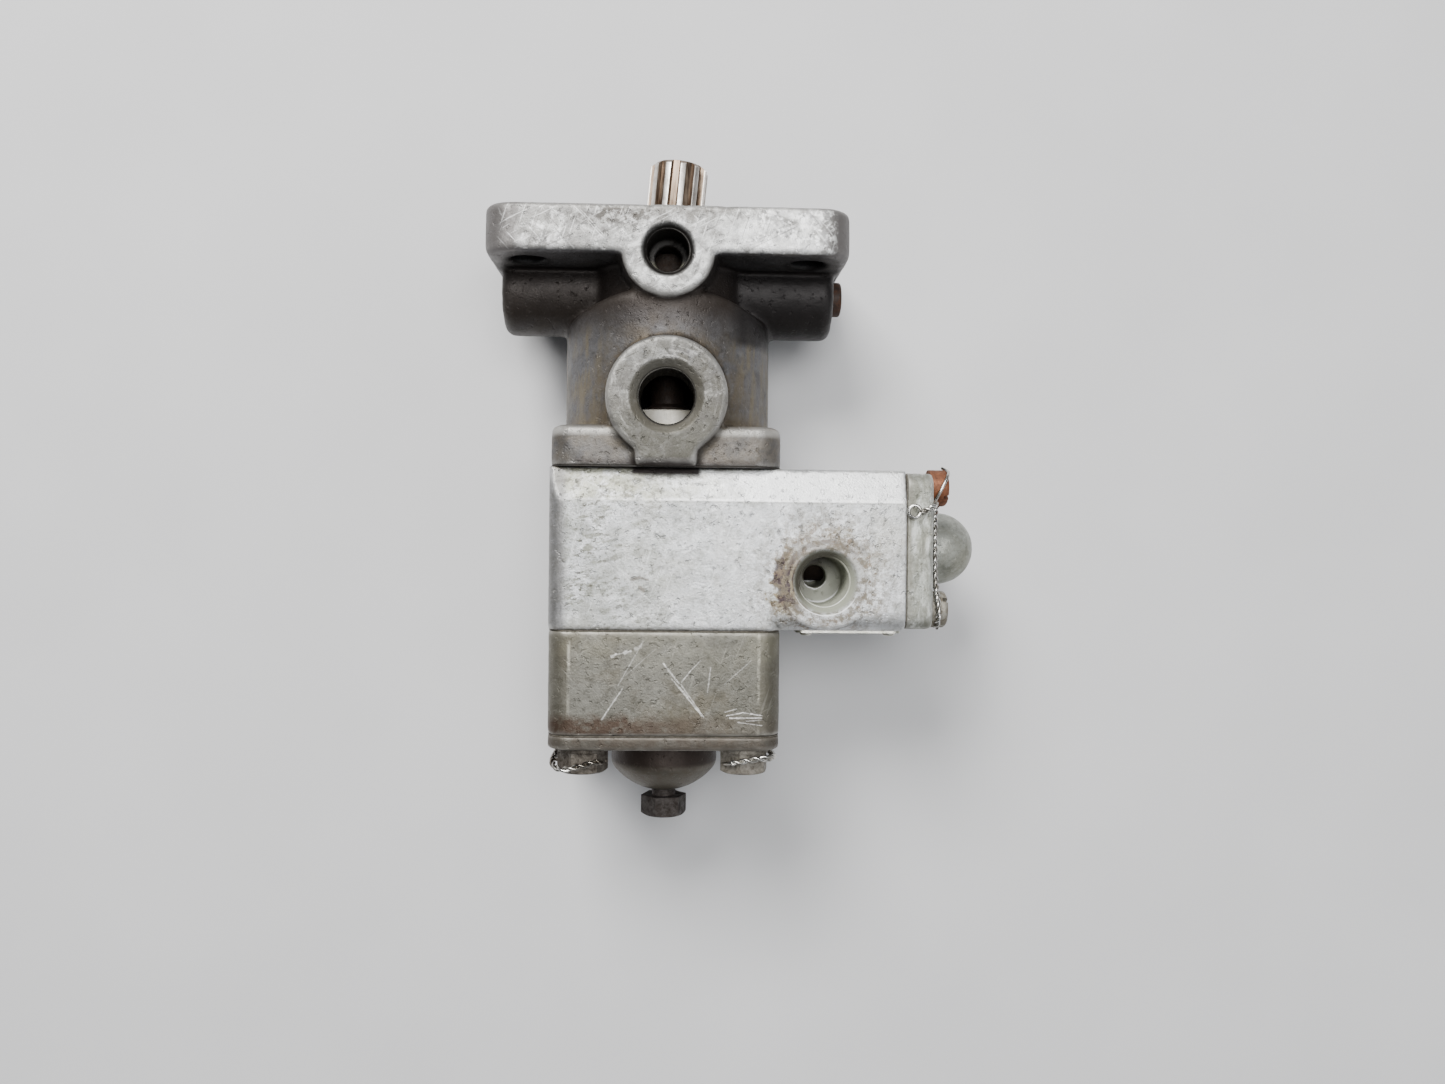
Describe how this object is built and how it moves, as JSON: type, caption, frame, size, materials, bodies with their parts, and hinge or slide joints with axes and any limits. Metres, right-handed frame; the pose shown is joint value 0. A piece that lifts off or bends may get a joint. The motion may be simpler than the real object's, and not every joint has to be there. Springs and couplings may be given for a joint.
{
  "type": "engine-driven rotary pump",
  "caption": "Flange-mounted splined rotary pump with a threaded inlet and outlet, a side regulator arm under a lock-wired domed cover, and a bottom relief valve with an adjusting screw.",
  "frame": {"origin": "where the drive shaft axis crosses the mounting face, the centre of the mounting holes", "axes": "+Y out of the mounting face along the drive shaft, +X towards the regulator arm, +Z away from the rest surface, towards the ports"},
  "size_m": [0.1295, 0.1758, 0.061],
  "materials": {
    "upper_casting": "dark weathered casting",
    "block_casting": "bare mottled casting",
    "relief_casting": "weathered machined casting",
    "side_casting": "weathered casting",
    "gasket_paper": "dark oiled gasket",
    "fastener_steel": "dull plated steel",
    "screw_steel": "plated steel, one head rusty",
    "rusty_steel": "rusty steel",
    "lockwire_steel": "bright stainless wire",
    "plate_metal": "bright thin sheet",
    "spline_steel": "worn oiled steel",
    "shaft_steel": "ground steel",
    "bearing_steel": "polished steel",
    "rotor_steel": "lapped steel",
    "bronze": "plain bronze",
    "seal_rubber": "nitrile rubber",
    "spring_steel": "oiled spring steel"
  },
  "bodies": {
    "root": {"drive_housing": "upper_casting", "pump_block": "block_casting", "relief_housing": "relief_casting", "relief_cover": "relief_casting", "regulator_cover": "side_casting", "housing_gasket": "gasket_paper", "block_gasket": "gasket_paper", "relief_gasket": "gasket_paper", "regulator_gasket": "gasket_paper", "through_bolts": "fastener_steel", "bolt_washers": "fastener_steel", "regulator_screws": "screw_steel", "lockwire_right": "lockwire_steel", "lockwire_left": "lockwire_steel", "lockwire_side": "lockwire_steel", "drain_plug_right": "rusty_steel", "drain_plug_left": "rusty_steel", "data_plate": "plate_metal", "plate_rivets": "plate_metal", "bearing_outer_race": "bearing_steel", "shaft_seal_case": "spring_steel", "shaft_seal_lip": "seal_rubber", "seal_spring": "spring_steel", "seal_retaining_ring": "spring_steel", "eccentric_ring": "rotor_steel", "port_plate_upper": "rotor_steel", "port_plate_lower": "rotor_steel", "shaft_bush_upper": "bronze", "shaft_bush_lower": "bronze", "rotor_set_pin": "shaft_steel", "locating_dowels": "shaft_steel", "regulator_sleeve": "shaft_steel", "regulator_spring": "spring_steel", "regulator_spring_seat": "shaft_steel", "relief_seat": "shaft_steel", "screw_packing": "seal_rubber"},
    "rotor": {"rotor_shaft": "shaft_steel", "rotor_key": "shaft_steel", "inner_rotor": "rotor_steel", "bearing_inner_race": "bearing_steel", "coupling_pin": "shaft_steel"},
    "coupling": {"drive_coupling": "spline_steel"},
    "outer_rotor": {"outer_rotor": "rotor_steel"},
    "ball_train": {"bearing_balls": "bearing_steel", "bearing_cage": "bronze"},
    "regulator": {"regulator_piston": "shaft_steel"},
    "relief": {"relief_poppet": "shaft_steel"},
    "spring_button": {"relief_spring_button": "shaft_steel", "relief_spring": "spring_steel"},
    "pressure_screw": {"adjusting_screw": "fastener_steel"}
  },
  "joints": [
    {"name": "drive_spin", "type": "hinge", "parent": "root", "child": "rotor", "pos_m": [0, 0, 0], "axis": [0, 1, 0], "continuous": true},
    {"name": "coupling_tilt", "type": "hinge", "parent": "rotor", "child": "coupling", "pos_m": [0, -0.01, 0], "axis": [0, 0, 1], "range_deg": [0, 10.6]},
    {"name": "outer_rotor_spin", "type": "hinge", "parent": "root", "child": "outer_rotor", "pos_m": [0.0014, -0.078, 0], "axis": [0, 1, 0], "continuous": true},
    {"name": "ball_spin", "type": "hinge", "parent": "root", "child": "ball_train", "pos_m": [0, -0.0275, 0], "axis": [0, 1, 0], "continuous": true},
    {"name": "regulator_travel", "type": "slide", "parent": "root", "child": "regulator", "axis": [1, 0, 0], "range_m": [0, 0.005], "stiffness_N_per_m": 2000, "springref_m": -0.004, "deforming": ["regulator_spring"]},
    {"name": "relief_travel", "type": "slide", "parent": "root", "child": "relief", "axis": [0, -1, 0], "range_m": [0, 0.003], "stiffness_N_per_m": 4000, "springref_m": -0.003, "deforming": ["relief_spring"]},
    {"name": "seat_travel", "type": "slide", "parent": "root", "child": "spring_button", "axis": [0, 1, 0], "range_m": [-0.00272, 0.00113]},
    {"name": "screw_turn", "type": "hinge", "parent": "spring_button", "child": "pressure_screw", "pos_m": [0, -0.1518, 0], "axis": [0, 1, 0], "range_deg": [-1080, 450]}
  ],
  "couplings": [
    {"joint": "outer_rotor_spin", "follows": "drive_spin", "ratio": 0.85714},
    {"joint": "ball_spin", "follows": "drive_spin", "ratio": 0.43269},
    {"joint": "screw_turn", "follows": "seat_travel", "rad_per_m": 6926.3}
  ]
}
